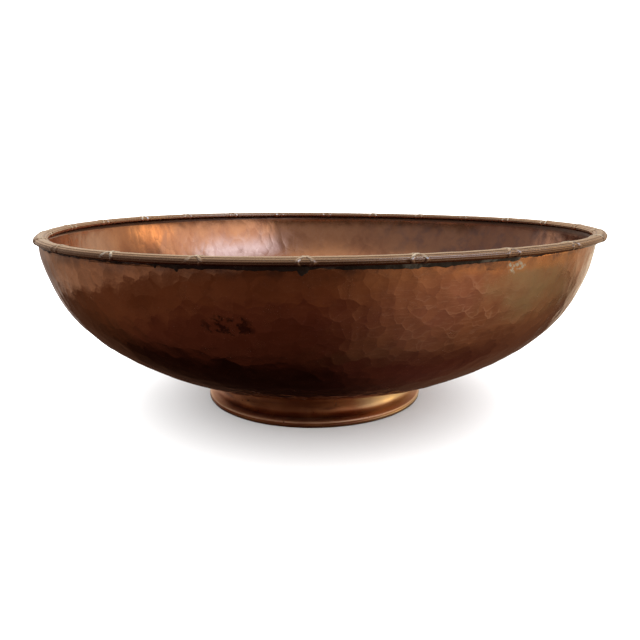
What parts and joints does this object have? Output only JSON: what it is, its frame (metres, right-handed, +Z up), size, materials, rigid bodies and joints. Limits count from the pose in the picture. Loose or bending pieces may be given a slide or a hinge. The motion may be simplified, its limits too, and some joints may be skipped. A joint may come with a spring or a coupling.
{
  "type": "hammered copper bowl",
  "caption": "Wide planished copper bowl with a reed-and-ribbon bound edge on a low spreading foot, for fruit, display or as a centrepiece.",
  "frame": {"origin": "centre of the foot's resting plane, on the table", "axes": "+Z up, the axis the bowl is turned about; -Y is the front"},
  "size_m": [0.3806, 0.3806, 0.1247],
  "materials": {
    "bowl_copper": "planished copper, waxed, with a dark brown patina",
    "border_copper": "worn copper, brown in the hollows and paler on the crests",
    "foot_copper": "polished copper, lightly toned",
    "solder": "old soft solder, blackened, grey where it is rubbed"
  },
  "bodies": {
    "root": {"bowl_shell": "bowl_copper", "rim_moulding": "border_copper", "rim_solder": "solder", "foot_ring": "foot_copper", "foot_base_wire": "foot_copper", "foot_solder": "solder"}
  },
  "joints": []
}
